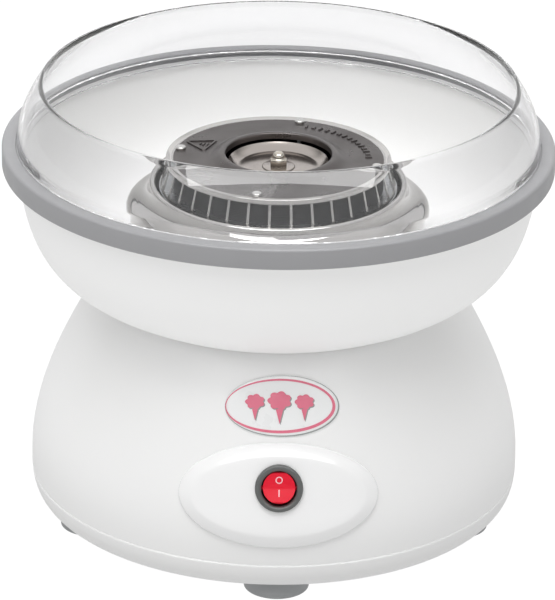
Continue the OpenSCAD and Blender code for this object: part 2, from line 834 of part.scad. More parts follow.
base_housing();
base_plate();
suction_feet();
foot_screws();
base_screws();
control_panel();
badge();
switch_body();
switch_terminals();
cord_inlet();
heater_shroud();
shroud_screws();
heat_shield();
heater_tube();
heater_clips();
heater_bushes();
thermostat();
thermal_fuse();
motor_bracket();
rubber_mounts();
motor_screws();
stator_core();
field_coils();
motor_bolts();
upper_bearing();
lower_bracket();
lower_bearing();
brush_holders();
carbon_brushes();
suppression_capacitor();
terminal_block();
switch_rocker();
switch_marks();
motor_shaft();
rotor_core();
rotor_winding();
commutator();
cooling_fan();
spinner_pan();
spinner_screen();
spinner_band();
spinner_rim();
spinner_cover();
head_rivets();
sugar_dish();
cap_washer();
cap_nut();
bowl();
rim_ring();
splash_guard();
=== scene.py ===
# %% [markdown]
# # The looks of a cotton candy machine
# The design arrives as fixed solids: a base with a motor, a spinning head, a bowl, a guard and a rocker switch.
# This lesson gives each of them the surface it has on the real machine. Most of what shows was made on a lathe,
# by spinning, or in a round mould, so most pieces here start as an outline that is spun round the axis.

import json
import math

import bmesh
import bpy
from mathutils import Matrix, Vector

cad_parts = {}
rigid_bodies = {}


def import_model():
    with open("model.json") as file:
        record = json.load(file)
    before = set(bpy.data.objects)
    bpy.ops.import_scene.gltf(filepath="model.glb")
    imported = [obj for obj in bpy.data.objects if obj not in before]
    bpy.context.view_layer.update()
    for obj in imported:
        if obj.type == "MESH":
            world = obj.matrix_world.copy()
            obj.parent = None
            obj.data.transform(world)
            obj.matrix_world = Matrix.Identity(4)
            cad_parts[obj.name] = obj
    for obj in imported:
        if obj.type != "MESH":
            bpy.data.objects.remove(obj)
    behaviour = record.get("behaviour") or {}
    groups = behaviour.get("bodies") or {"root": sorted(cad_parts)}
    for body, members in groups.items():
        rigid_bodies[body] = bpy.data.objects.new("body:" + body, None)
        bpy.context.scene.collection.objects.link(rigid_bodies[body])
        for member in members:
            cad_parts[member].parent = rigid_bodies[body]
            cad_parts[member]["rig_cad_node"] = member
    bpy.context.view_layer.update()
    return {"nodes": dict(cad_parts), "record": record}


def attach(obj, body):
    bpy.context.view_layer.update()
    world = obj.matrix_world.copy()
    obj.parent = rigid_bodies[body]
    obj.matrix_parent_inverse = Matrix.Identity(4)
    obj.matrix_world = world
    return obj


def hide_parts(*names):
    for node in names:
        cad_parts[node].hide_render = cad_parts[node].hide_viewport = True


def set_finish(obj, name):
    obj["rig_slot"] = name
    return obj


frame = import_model()
record = frame["record"]
MM = 0.001

# %% [markdown]
# ## Sizes shared with the design
# These are the design's own main sizes, in millimetres. Heights are measured from the surface that the feet
# stand on, radii from the axis, +Z is up and the switch faces -Y.

# %% Sizes
RING_R = 136.2
RING_TOP = 195.5
RING_UNDER = 185.0
RING_INNER_R = 127.8
GUARD_TOP = RING_TOP + 31.1
GUARD_WALL = 2.4
GUARD_LIP_R = 117.5
SEAT_R = 129.1
SEAT_Z = 194.9
BOWL_FOOT_Z = 121.5
BOWL_HOLE_R = 77.0
BASE_R = 122.4
NECK_R = 89.5
ROOF_Z = 121.3
SEAM_Z = 24.0
FOOT_H = 11.0
FOOT_CIRCLE_R = 96.0
FEET = 5
GLAND_Z = 38.0
SHROUD_R = 75.2
TOWER_TOP = 132.0
PAN_TOP = 172.2
COVER_R = 52.0
COVER_TOP = 186.5
SUGAR_HOLE_R = 26.3
BAND_TOP_Z = 184.8
DISH_Z = 181.4
NUT_Z = 182.7

# %% [markdown]
# ## Outlines
# A turned piece is drawn as half of its cross section. Straight runs need only their ends. Long soft curves
# are cubic curves, because four control points are enough for the side of a bowl or a housing, and a corner
# is given a radius, which a vertex bevel then rounds as a file or a mould would.

# %% Curves for outlines
def cubic(a, b, c, d, count=24):
    """Points (radius, height) along a cubic curve from its four control points."""
    a, b, c, d = (Vector(p) for p in (a, b, c, d))
    points = []
    for i in range(count + 1):
        t = i / count
        s = 1 - t
        points.append(s ** 3 * a + 3 * s * s * t * b + 3 * s * t * t * c + t ** 3 * d)
    return [(p.x, p.y) for p in points]


def shifted(points, distance):
    """The same run moved sideways by distance, to the left of its own direction."""
    moved = []
    for i, p in enumerate(points):
        a = Vector(points[max(i - 1, 0)])
        b = Vector(points[min(i + 1, len(points) - 1)])
        along = (b - a).normalized()
        moved.append((p[0] - distance * along.y, p[1] + distance * along.x))
    return moved


housing_side = cubic((NECK_R, ROOF_Z - 0.4), (NECK_R + 13.5, 97.2), (BASE_R, 63.7), (BASE_R, 30.5), 40)
housing_side.append((BASE_R, SEAM_Z))
print("housing outline:", len(housing_side), "points")

# %% [markdown]
# ## From an outline to a piece
# `turned` spins the outline a full turn with `bmesh.ops.spin`. The first and last rings are merged, poles are
# closed by merging doubles, and the normals are made consistent after that. `settle` turns a bmesh into a piece
# that rides on a body, stands for its design node and takes its finish from one of the part's material slots.

# %% Turning and settling
def turned(points, steps=192, turn=2 * math.pi):
    """A bmesh solid spun from a closed outline of (radius, height) or (radius, height, corner radius), in mm."""
    bm = bmesh.new()
    corners = [bm.verts.new((p[0] * MM, 0, p[1] * MM)) for p in points]
    for a, b in zip(corners, corners[1:] + corners[:1]):
        if a.co.x > 0 or b.co.x > 0:
            bm.edges.new((a, b))
    for corner, p in zip(corners, points):
        if len(p) > 2:
            bmesh.ops.bevel(bm, geom=[corner], offset=p[2] * MM, offset_type="OFFSET", affect="VERTICES",
                            segments=4, profile=0.5, material=-1)
    bmesh.ops.spin(bm, geom=bm.verts[:] + bm.edges[:], cent=(0, 0, 0), axis=(0, 0, 1), angle=turn,
                   steps=steps, use_merge=True)
    bmesh.ops.remove_doubles(bm, verts=bm.verts, dist=0.001 * MM)
    bmesh.ops.recalc_face_normals(bm, faces=bm.faces)
    return bm


def settle(name, bm, body, nodes, slot, sharp=32):
    """Makes a piece of a bmesh, smooth but for its edges sharper than an angle in degrees."""
    mesh = bpy.data.meshes.new(name)
    bm.to_mesh(mesh)
    bm.free()
    mesh.shade_smooth()
    mesh.set_sharp_from_angle(angle=math.radians(sharp))
    piece = bpy.data.objects.new(name, mesh)
    bpy.context.scene.collection.objects.link(piece)
    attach(piece, body)
    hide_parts(*nodes)
    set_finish(piece, slot)
    print(name, "faces:", len(mesh.polygons))
    return piece


# %% [markdown]
# A moulding with bosses and holes is right as the design has it. It only needs its loose triangles merged, so
# that its curved walls shade smoothly. Long thin triangles meet round each hole in such a wall, and a Weighted
# Normal modifier lets the large faces decide the shading there. The design's own mesh is left alone.

# %% A smooth copy of a design node
def smooth_copy(name, node, body, slot, sharp=32):
    """A piece with the shape of a design node, shaded smoothly."""
    bm = bmesh.new()
    bm.from_mesh(frame["nodes"][node].data)
    bmesh.ops.remove_doubles(bm, verts=bm.verts, dist=0.002 * MM)
    piece = settle(name, bm, body, [node], slot, sharp)
    even = piece.modifiers.new("even_normals", "WEIGHTED_NORMAL")
    even.keep_sharp = True
    return piece


# %% [markdown]
# ## The bowl
# The bowl is a deep white moulding that catches the spun sugar. Its wall could be a thickened surface, but the
# inside and the outside are different curves, so both are drawn and the outline is spun as one closed loop.

# %% Bowl
bowl_side = cubic(
    (RING_R - 7.7, RING_UNDER), (RING_R - 10.22, 157.5), (RING_R - 15.64, 133.83), (91.26, 122.73), 40)
bowl_inside = cubic((91, 125.3), (RING_R - 17.2, 136), (RING_R - 11.6, 160), (RING_R - 8.6, RING_TOP - 3), 40)
bowl_outline = (
    [(RING_INNER_R - 0.2, RING_TOP - 3.1), (RING_R - 2.8, RING_TOP - 3.1)]
    + [(RING_R - 2.8, RING_UNDER + 0.3), (RING_R - 7.7, RING_UNDER + 0.3)]
    + bowl_side
    + [(90.2, BOWL_FOOT_Z, 0.5), (BOWL_HOLE_R, BOWL_FOOT_Z, 0.4), (BOWL_HOLE_R, BOWL_FOOT_Z + 6, 0.9)]
    + [(BOWL_HOLE_R + 2, BOWL_FOOT_Z + 6, 0.9), (BOWL_HOLE_R + 2.6, BOWL_FOOT_Z + 3, 1.2)]
    + bowl_inside
)
settle("bowl_shell", turned(bowl_outline), "bowl", ["bowl"], "white_plastic", 25)

# %% [markdown]
# The grey ring is a separate moulding pressed over the bowl's edge. Its top is flat, its outer corner is
# rounded, and a shallow step inside carries the guard.

# %% Grip ring
ring_outline = [
    (RING_INNER_R, RING_TOP - 3.1),
    (RING_INNER_R, SEAT_Z, 0.3),
    (SEAT_R, SEAT_Z),
    (SEAT_R + 0.4, RING_TOP, 0.2),
    (RING_R, RING_TOP, 1.6),
    (RING_R, RING_UNDER, 0.7),
    (RING_R - 2.8, RING_UNDER),
    (RING_R - 2.8, RING_TOP - 3.1),
]
settle("grip_ring", turned(ring_outline), "bowl", ["rim_ring"], "grey_plastic")

# %% [markdown]
# The guard is one clear moulding, 2.4 mm thick. Light bends in it, so the real wall thickness matters more
# than anything else: both faces are drawn, and the lip is cut flat with its two corners rounded.

# %% Clear guard
guard_side = cubic(
    (SEAT_R - 0.3, RING_TOP + 0.5),
    (SEAT_R - 0.3, RING_TOP + 12.5),
    (GUARD_LIP_R + 6.7, GUARD_TOP - 10.4),
    (GUARD_LIP_R, GUARD_TOP - 0.5),
    32,
)
guard_inner = shifted(guard_side, GUARD_WALL)
guard_inner = [p for p in guard_inner if RING_TOP + 3 < p[1] < GUARD_TOP - 2]
guard_outline = (
    [(RING_INNER_R - 2.8, RING_TOP - 4.5, 0.4), (RING_INNER_R - 1, RING_TOP - 4.5, 0.4)]
    + [(RING_INNER_R - 0.9, SEAT_Z + 0.1), (SEAT_R - 0.3, SEAT_Z + 0.1, 0.2)]
    + guard_side
    + [(GUARD_LIP_R - 0.3, GUARD_TOP, 0.4), (GUARD_LIP_R - 1.7, GUARD_TOP, 0.4)]
    + guard_inner[::-1]
    + [(RING_INNER_R - 2.8, RING_TOP - 0.5)]
)
settle("clear_guard", turned(guard_outline), "guard", ["splash_guard"], "clear_plastic", 40)

# %% [markdown]
# ## The shroud round the heater
# The shroud is thin stainless steel, spun over a former and polished to a mirror. A mirror shows every corner
# of its outline as a line of light, so the shoulder and the rolled lip are drawn as curves with many points.

# %% Polished shroud
def rolled(centre, radius, start, end, count=8):
    """Points (radius, height) of an arc from start to end degrees, for an edge rolled to a bead."""
    points = []
    for i in range(count + 1):
        a = math.radians(start + (end - start) * i / count)
        points.append((centre[0] + radius * math.cos(a), centre[1] + radius * math.sin(a)))
    return points


SHEET_T = 0.8
shroud_side = (
    [(73, TOWER_TOP + 0.2), (73.4, 140), (SHROUD_R - 0.4, 149), (SHROUD_R, 154)]
    + cubic((SHROUD_R, 160.5), (SHROUD_R, 163.4), (SHROUD_R - 2.6, 163.6), (SHROUD_R - 5.2, 164.6), 14)
    + cubic((SHROUD_R - 5.6, 164.8), (SHROUD_R - 8.6, 166), (64.2, 168.2), (64, 172.6), 14)
    + rolled((62.3, 173.5), 1.7, 0, 180, 14)
    + [(60.6, 168)]
)
shroud_inside = shifted(shroud_side, SHEET_T)[::-1]
shroud_outline = shroud_side + shroud_inside + [(57, TOWER_TOP + SHEET_T), (57, TOWER_TOP)]
settle("polished_shroud", turned(shroud_outline), "base", ["heater_shroud"], "bright_steel", 40)

# %% [markdown]
# ## The spinning head
# From the top down the head is a dark cover plate with a raised throat, a bright rim with a rolled edge, a band
# of slots that the sugar leaves through, and a pan below. The cover is pressed sheet, so its throat is one curve.

# %% Cover plate
throat = cubic((36.5, COVER_TOP), (31.5, COVER_TOP), (30.5, 189.6), (SUGAR_HOLE_R + 1, 189.6), 16)
cover_outline = (
    [(COVER_R, COVER_TOP), (38, COVER_TOP)]
    + throat
    + [(SUGAR_HOLE_R, 189.6, 0.7), (SUGAR_HOLE_R, 186.2, 0.3), (SUGAR_HOLE_R + 1.2, 186.2)]
    + [(SUGAR_HOLE_R + 1.4, 188.1), (29, 187.6), (32, 185.8), (37, COVER_TOP - 1.3), (COVER_R, COVER_TOP - 1.3)]
)
settle("cover_plate", turned(cover_outline), "spinner", ["spinner_cover"], "cover_grey", 25)

# %% [markdown]
# The press also stamps marks into the cover. They are kept generic: a triangle of three bars with three shorter
# bars inside it, and a row of 15 short bars along an arc where a maker would put words.

# %% Stamped marks
SLOPE = 0.18


def stamped_bar(bm, length, width, height, place):
    """A low raised bar, added to bm. Its top is smaller than its foot by the share SLOPE."""
    size = Matrix.Diagonal((length * MM, width * MM, height * MM, 1))
    made = bmesh.ops.create_cube(bm, size=1, matrix=place @ size)["verts"]
    middle = place @ Vector((0, 0, 0))
    for v in made:
        if v.co.z > middle.z:
            v.co.x += (middle.x - v.co.x) * SLOPE
            v.co.y += (middle.y - v.co.y) * SLOPE


def on_cover(degrees, radius):
    """A place on top of the cover, at an angle and a radius in mm, with x pointing outwards."""
    out = Matrix.Translation((radius * MM, 0, (COVER_TOP + 0.2) * MM))
    return Matrix.Rotation(math.radians(degrees), 4, "Z") @ out


WORD_BARS = 15
BAR_LENGTHS = (3.8, 2.6, 3.8, 3.0)
BAR_WIDTHS = (1.0, 2.0, 1.0, 1.5)
stamps = bmesh.new()
triangle_spot = on_cover(155, 41.5)
for k in range(3):
    side = Matrix.Rotation(math.radians(120 * k + 60), 4, "Z") @ Matrix.Translation((4.3 * MM, 0, 0))
    stamped_bar(stamps, 1.2, 15.0, 0.9, triangle_spot @ side)
for k in range(3):
    wave = Matrix.Translation(((1.7 * k - 2.6) * MM, 0, 0))
    stamped_bar(stamps, 0.8, 4.4 - 1.2 * k, 0.8, triangle_spot @ wave)
for k in range(WORD_BARS):
    stamped_bar(stamps, BAR_LENGTHS[k % 4], BAR_WIDTHS[k % 4], 0.9, on_cover(2 + 4.9 * k, 44.5))
settle("cover_stamps", stamps, "spinner", [], "cover_grey", 20)

# %% [markdown]
# The bright rim folds over the cover's edge and over the top of the band. It dips between the two, so its outer
# edge, rolled to a thin bead, throws one line of light all the way round.

# %% Bright rim
rim_outline = (
    [(COVER_R, BAND_TOP_Z), (55.6, BAND_TOP_Z, 0.2)]
    + rolled((55.25, 186.6), 0.4, -10, 130)
    + [(53.2, 186.1, 0.5), (COVER_R, 186.4)]
)
settle("bright_rim", turned(rim_outline), "spinner", ["spinner_rim"], "bright_steel", 50)

# %% [markdown]
# The slotted band is a strip of steel with 34 windows. Two hoops are turned, and one bar is made from a cube that
# leans with the cone of the band. The bar alone is then repeated round the axis by spin with `use_duplicate`.

# %% Slotted band
SLOTS = 34
band = turned([(57.5, PAN_TOP), (58.4, PAN_TOP), (58.2, PAN_TOP + 1.1), (57.3, PAN_TOP + 1.1)])
hoop = turned([(54.2, BAND_TOP_Z - 0.5), (55.1, BAND_TOP_Z - 0.5), (55, BAND_TOP_Z), (54.1, BAND_TOP_Z)])
hoop_mesh = bpy.data.meshes.new("hoop")
hoop.to_mesh(hoop_mesh)
hoop.free()
band.from_mesh(hoop_mesh)
bpy.data.meshes.remove(hoop_mesh)
lean = math.atan2(3.4, BAND_TOP_Z - PAN_TOP)
bar_place = (
    Matrix.Translation((56.25 * MM, 0, (PAN_TOP + BAND_TOP_Z) / 2 * MM))
    @ Matrix.Rotation(-lean, 4, "Y")
    @ Matrix.Diagonal((0.9 * MM, 1.3 * MM, 12.6 * MM, 1))
)
bar = bmesh.ops.create_cube(band, size=1, matrix=bar_place)["verts"]
bar_faces = [f for f in band.faces if all(v in bar for v in f.verts)]
bar_edges = list({e for f in bar_faces for e in f.edges})
bmesh.ops.spin(band, geom=bar + bar_edges + bar_faces, cent=(0, 0, 0), axis=(0, 0, 1),
               angle=2 * math.pi * (SLOTS - 1) / SLOTS, steps=SLOTS - 1, use_duplicate=True)
settle("slotted_band", band, "spinner", ["spinner_band"], "slot_steel")

# %% [markdown]
# Four rivets with rounded heads hold the cover to the pan. One is turned at the axis and moved out, and a helper
# repeats it round the axis as the bar was. The feet use the same helper later.

# %% Rivets
def repeat_round(bm, count):
    """Repeats what bm holds evenly round the axis, count times in all."""
    bmesh.ops.spin(bm, geom=bm.verts[:] + bm.edges[:] + bm.faces[:], cent=(0, 0, 0), axis=(0, 0, 1),
                   angle=2 * math.pi * (count - 1) / count, steps=count - 1, use_duplicate=True)


RIVETS = 4
RIVET_PLACE = Matrix.Rotation(math.radians(76.7), 3, "Z")
rivet = turned(
    [(0, PAN_TOP), (1.5, PAN_TOP), (1.5, COVER_TOP), (2.45, COVER_TOP, 0.2)]
    + cubic((2.5, COVER_TOP + 0.9), (2.5, COVER_TOP + 1.6), (1.7, COVER_TOP + 1.9), (0, COVER_TOP + 1.9), 8),
    steps=28,
)
bmesh.ops.rotate(rivet, verts=rivet.verts, cent=(0, 0, 0), matrix=RIVET_PLACE)
bmesh.ops.translate(rivet, verts=rivet.verts, vec=RIVET_PLACE @ Vector((49.5 * MM, 0, 0)))
repeat_round(rivet, RIVETS)
settle("rivets", rivet, "spinner", ["head_rivets"], "bright_steel", 40)

# %% [markdown]
# Sugar is poured into the dish under the throat. The dish is pressed from polished sheet, and an acorn nut on
# a washer holds it down. The nut is a six-sided prism for the flats with a turned dome above them.

# %% Dish, washer and acorn nut
dish_outline = [
    (0, DISH_Z), (20, DISH_Z, 1.5), (23, DISH_Z + 1, 2), (25.2, DISH_Z + 3.8), (24.5, DISH_Z + 4.1),
    (22.4, DISH_Z + 1.6, 2), (19.7, DISH_Z + 0.7, 1.5), (0, DISH_Z + 0.7),
]
settle("dish", turned(dish_outline), "spinner", ["sugar_dish"], "bright_steel", 40)
washer_outline = [(0, DISH_Z + 0.7), (8.2, DISH_Z + 0.7), (7.9, NUT_Z, 0.3), (0, NUT_Z)]
settle("washer", turned(washer_outline, 64), "spinner", ["cap_washer"], "bright_steel")
dome = cubic((4.0, NUT_Z + 3.6), (2.9, NUT_Z + 4.2), (3.2, NUT_Z + 4.8), (2.9, NUT_Z + 5.6), 8)
dome += cubic((2.9, NUT_Z + 5.6), (2.6, NUT_Z + 6.9), (1.3, NUT_Z + 7.5), (0, NUT_Z + 7.5), 10)[1:]
nut = turned([(0, NUT_Z + 3.2), (4.0, NUT_Z + 3.2)] + dome, 48)
hexagon = bmesh.ops.create_cone(nut, cap_ends=True, segments=6, radius1=4.6 * MM, radius2=4.6 * MM,
                                depth=3.6 * MM, matrix=Matrix.Translation((0, 0, (NUT_Z + 1.8) * MM)))
flats = hexagon["verts"]
top_edges = [e for e in nut.edges if all(v in flats and v.co.z > (NUT_Z + 3) * MM for v in e.verts)]
bmesh.ops.bevel(nut, geom=top_edges, offset=0.5 * MM, offset_type="OFFSET", affect="EDGES", segments=3,
                profile=0.5, material=-1)
settle("acorn_nut", nut, "spinner", ["cap_nut"], "chrome", 28)

# %% [markdown]
# ## Pieces that follow the housing
# The panel and the badge are ovals that wrap round the curved housing. They are drawn flat, as x across, y up
# the slope and a height above the housing. Then each vertex is moved out along the panel's own z until it lies on
# the housing's outline, shifted out by that height. Halving the search range 30 times finds the place.

# %% Wrapping onto the housing
SEARCH_MM = (-40.0, 20.0)
SEARCH_STEPS = 30


def front_frame(y, z, tilt):
    """The frame on the front of the housing: x across, y up the slope, z out, in mm."""
    return Matrix.Translation((0, y, z)) @ Matrix.Rotation(math.radians(90 - tilt), 4, "X")


def radius_at(level, run):
    """Radius of a run of (radius, height) points at a level, from the two points beside it."""
    for a, b in zip(run, run[1:]):
        if a[1] >= level >= b[1]:
            return a[0] + (b[0] - a[0]) * (a[1] - level) / max(a[1] - b[1], 1e-9)
    return run[0][0] if level > run[0][1] else run[-1][0]


def wrap(bm, place):
    """Moves vertices given as (x, y, height) in mm onto the housing, through the frame of the piece."""
    runs = {}
    for vert in bm.verts:
        x, y, height = vert.co
        key = round(height, 3)
        if key not in runs:
            runs[key] = shifted(housing_side, height)
        low, high = SEARCH_MM
        for _ in range(SEARCH_STEPS):
            middle = (low + high) / 2
            point = place @ Vector((x, y, middle))
            if math.hypot(point.x, point.y) < radius_at(point.z, runs[key]):
                low = middle
            else:
                high = middle
        vert.co = (place @ Vector((x, y, low))) * MM


# %% [markdown]
# The control panel is a gloss white pillow. Its oval edge is an ellipse that is extruded and scaled ring by
# ring to make the soft bevel, and the last ring is bridged to the round hole for the switch.

# %% Control panel
PANEL_W = 96.4
PANEL_H = 51.4
PANEL_T = 4.0
SWITCH_UP = 4.45
BEZEL_HOLE_R = 11.6
BARREL_HOLE_R = 10.1
BEZEL_SEAT = 2.6
panel_place = front_frame(-118.1, 59.2, 15.5)


def oval_steps(bm, width, height, steps, segments=96):
    """Rings of an oval piece: each step is (inset, height), and the loop of the last ring is returned."""
    made = bmesh.ops.create_circle(bm, cap_ends=False, segments=segments, radius=1)["verts"]
    loop = list({e for v in made for e in v.link_edges})
    first_inset, first_height = steps[0]
    for v in made:
        v.co = (v.co.x * (width / 2 - first_inset), v.co.y * (height / 2 - first_inset), first_height)
    inset = first_inset
    for next_inset, level in steps[1:]:
        made = bmesh.ops.extrude_edge_only(bm, edges=loop)["geom"]
        loop = [g for g in made if isinstance(g, bmesh.types.BMEdge)]
        ring = [g for g in made if isinstance(g, bmesh.types.BMVert)]
        for v in ring:
            v.co.x *= (width / 2 - next_inset) / (width / 2 - inset)
            v.co.y *= (height / 2 - next_inset) / (height / 2 - inset)
            v.co.z = level
        inset = next_inset
    return [e for e in loop if e.is_boundary]


bevel_steps = [(0, 0), (0, 0.5), (0.1, 1.0), (0.4, 1.45), (1, 1.85), (2.4, 2.5), (4, 3.2), (5.3, 3.68), (6, 3.88),
               (6.9, 3.97), (8, PANEL_T)]
panel = bmesh.new()
edge_loop = oval_steps(panel, PANEL_W, PANEL_H, bevel_steps)
hole = bmesh.ops.create_circle(panel, cap_ends=False, segments=96, radius=BEZEL_HOLE_R,
                               matrix=Matrix.Translation((0, SWITCH_UP, PANEL_T)))["verts"]
hole_loop = list({e for v in hole for e in v.link_edges})
bridge = bmesh.ops.bridge_loops(panel, edges=edge_loop + hole_loop)
bmesh.ops.subdivide_edges(panel, edges=bridge["edges"], cuts=16, use_grid_fill=False)
for drop, radius in ((BEZEL_SEAT, BEZEL_HOLE_R), (BEZEL_SEAT, BARREL_HOLE_R), (0, BARREL_HOLE_R)):
    made = bmesh.ops.extrude_edge_only(panel, edges=hole_loop)["geom"]
    hole_loop = [g for g in made if isinstance(g, bmesh.types.BMEdge) and g.is_boundary]
    for v in (g for g in made if isinstance(g, bmesh.types.BMVert)):
        flat = Vector((v.co.x, v.co.y - SWITCH_UP)).normalized() * radius
        v.co = (flat.x, flat.y + SWITCH_UP, drop)
wrap(panel, panel_place)
bmesh.ops.recalc_face_normals(panel, faces=panel.faces)
settle("panel_face", panel, "base", ["control_panel"], "panel_plastic", 60)

# %% [markdown]
# The badge is a printed oval. The words that such a badge carries are replaced by a generic picture: spun
# sugar on paper cones. Each printed area is a film 0.1 mm proud of the plate, so that its edge is crisp.

# %% Badge plate
BADGE_W = 55.2
BADGE_H = 29.6
BADGE_T = 0.6
BADGE_RINGS = 8
badge_place = Matrix.Rotation(math.radians(0.8), 4, "Z") @ front_frame(-101.6, 99.2, 27.6)
badge = bmesh.new()
badge_loop = oval_steps(badge, BADGE_W, BADGE_H, [(0, 0), (0, 0.4), (0.2, BADGE_T)])
for k in range(BADGE_RINGS):
    made = bmesh.ops.extrude_edge_only(badge, edges=badge_loop)["geom"]
    badge_loop = [g for g in made if isinstance(g, bmesh.types.BMEdge) and g.is_boundary]
    for v in (g for g in made if isinstance(g, bmesh.types.BMVert)):
        v.co.x *= (BADGE_RINGS - 0.8 - k) / (BADGE_RINGS - k)
        v.co.y *= (BADGE_RINGS - 0.8 - k) / (BADGE_RINGS - k)
bmesh.ops.edgeloop_fill(badge, edges=badge_loop)
bmesh.ops.triangulate(badge, faces=[f for f in badge.faces if len(f.verts) > 4])
wrap(badge, badge_place)
bmesh.ops.recalc_face_normals(badge, faces=badge.faces)
settle("badge_plate", badge, "base", ["badge"], "label", 60)

# %% [markdown]
# An outline that is thicker on one side is the area between two ovals with different centres. Bridging the
# two loops gives that area, and a small lift gives the film its thickness.

# %% Printed outlines
PRINT_T = 0.1


def printed_ring(bm, outer, inner, segments=120):
    """The area between two ovals, each (centre x, centre y, half width, half height) in mm."""
    loops = []
    for cx, cy, half_w, half_h in (outer, inner):
        place = Matrix.Translation((cx, cy, BADGE_T - PRINT_T / 2)) @ Matrix.Diagonal((half_w, half_h, 1, 1))
        made = bmesh.ops.create_circle(bm, cap_ends=False, segments=segments, radius=1, matrix=place)["verts"]
        loops += list({e for v in made for e in v.link_edges})
    bmesh.ops.bridge_loops(bm, edges=loops)


def printed(name, bm, slot):
    """Extrudes flat printed areas to the thickness of a film and wraps them round the housing."""
    film = bmesh.ops.extrude_face_region(bm, geom=bm.faces[:])["geom"]
    lifted = [g for g in film if isinstance(g, bmesh.types.BMVert)]
    bmesh.ops.translate(bm, vec=(0, 0, 1.5 * PRINT_T), verts=lifted)
    wrap(bm, badge_place)
    bmesh.ops.recalc_face_normals(bm, faces=bm.faces)
    return settle(name, bm, "base", [], slot, 40)


grey_print = bmesh.new()
printed_ring(grey_print, (0, 0, 27.5, 14.7), (-0.28, 0.22, 27.15, 14.4))
printed("badge_grey_outline", grey_print, "grey_plastic")
pink_print = bmesh.new()
printed_ring(pink_print, (-0.9, 0, 26.5, 13.1), (-1.4, 0.2, 25.55, 11.95))
printed("badge_pink_outline", pink_print, "label")

# %% [markdown]
# A cloud of spun sugar is a circle whose radius swells and dips seven times, and the paper cone is a triangle.
# A grey copy of the whole picture, a little lower and to the right, sits behind it as its printed shadow.

# %% Picture of spun sugar
def floss(bm, x, y, size, level):
    """One cloud on its cone, at (x, y) on the badge."""
    place = Matrix.Translation((x, y, level))
    cloud = bmesh.ops.create_circle(bm, cap_ends=True, segments=70, radius=size, matrix=place)["verts"]
    for v in cloud:
        away = Vector((v.co.x - x, v.co.y - y))
        swell = 0.84 + 0.22 * abs(math.sin(3.5 * math.atan2(away.y, away.x)))
        v.co.x = x + away.x * swell * 1.15
        v.co.y = y + away.y * swell * 0.9
    tip = Matrix.Translation((x, y - 1.35 * size, level)) @ Matrix.Diagonal((0.55, 1.25, 1, 1))
    point_down = Matrix.Rotation(math.radians(180), 4, "Z")
    bmesh.ops.create_circle(bm, cap_ends=True, segments=3, radius=size * 0.8, matrix=tip @ point_down)


picture = bmesh.new()
shadow = bmesh.new()
for x, y, size in ((-13.2, 2.2, 3.9), (-1.4, 2.6, 4.8), (10.6, 2.0, 3.9)):
    floss(picture, x, y, size, BADGE_T + PRINT_T)
    floss(shadow, x + 0.5, y - 0.5, size, BADGE_T - PRINT_T / 2)
printed("badge_shadow", shadow, "grey_plastic")
printed("badge_picture", picture, "label")

# %% [markdown]
# ## The switch
# A round rocker switch has a nylon bezel and a glossy rocker in two sloping halves. The bezel is turned. The
# rocker keeps the design's shape, and a Bevel modifier breaks its edges, which catch the light on a real one.

# %% Switch bezel, rocker and marks
BARREL_D = 9
BARREL_END = 16
switch_place = panel_place @ Matrix.Translation((0, SWITCH_UP, PANEL_T))
switch_place.translation *= MM
bezel_outline = [
    (8.6, -BARREL_D), (10, -BARREL_D), (10, -0.55), (11.5, -0.55), (11.5, 1.8, 0.9), (9.6, 1.8, 0.5),
    (8.6, 0.9, 0.3),
]
bezel = turned(bezel_outline, 96)
bmesh.ops.transform(bezel, matrix=switch_place, verts=bezel.verts)
settle("switch_bezel", bezel, "base", ["switch_body"], "switch_black", 50)
well = turned([(0, -BARREL_D), (10, -BARREL_D), (10, -BARREL_END, 0.5), (0, -BARREL_END)], 64)
bmesh.ops.transform(well, matrix=switch_place, verts=well.verts)
settle("switch_back", well, "base", [], "switch_black")
rocker_cap = smooth_copy("rocker_cap", "switch_rocker", "rocker", "switch_red", 24)
edge_break = rocker_cap.modifiers.new("edge_break", "BEVEL")
edge_break.width = 0.25 * MM
edge_break.segments = 3
edge_break.limit_method = "ANGLE"
edge_break.angle_limit = math.radians(24)
smooth_copy("rocker_marks", "switch_marks", "rocker", "mark_white", 30)

# %% [markdown]
# ## The housing, its cover and its feet
# The housing and the bottom cover are smooth copies. The feet are turned rubber, hollow underneath, and the
# gland where the lead would enter at the back is turned and laid on its side.

# %% Housing, bottom cover, feet and gland
smooth_copy("base_shell", "base_housing", "base", "white_plastic", 28)
smooth_copy("bottom_cover", "base_plate", "base", "white_plastic", 28)
foot_outline = [
    (2, 5), (4.2, 5, 0.4), (4.2, 0.9), (7.5, 1.5, 0.6), (11.5, 1.5, 0.8), (12.6, 0), (16, 0, 0.8), (16, 4.5, 1.5),
    (14.4, 10), (13.6, FOOT_H, 0.5), (2, FOOT_H),
]
foot = turned(foot_outline, 72)
bmesh.ops.translate(foot, verts=foot.verts, vec=(0, -FOOT_CIRCLE_R * MM, 0))
repeat_round(foot, FEET)
settle("rubber_feet", foot, "base", ["suction_feet"], "foot_rubber", 40)
gland_outline = [
    (3.6, 113, 0.5), (6.5, 113, 0.4), (6.5, 121.4), (8.5, 121.4), (8.5, 124.6, 0.8), (5.2, 124.6, 0.5),
    (3.6, 122.6, 0.6),
]
gland = turned(gland_outline, 64)
gland_turn = Matrix.Translation((0, 0, GLAND_Z * MM)) @ Matrix.Rotation(math.radians(-90), 4, "X")
bmesh.ops.transform(gland, matrix=gland_turn, verts=gland.verts)
settle("inlet_gland", gland, "base", ["cord_inlet"], "black_rubber", 40)

# %% [markdown]
# ## Materials
# Colours are written as the hex values a paint chart gives and made linear in one place. `add` adds one node
# with its settings and links. `principled` starts a material from its shader, with uniform values set on it.

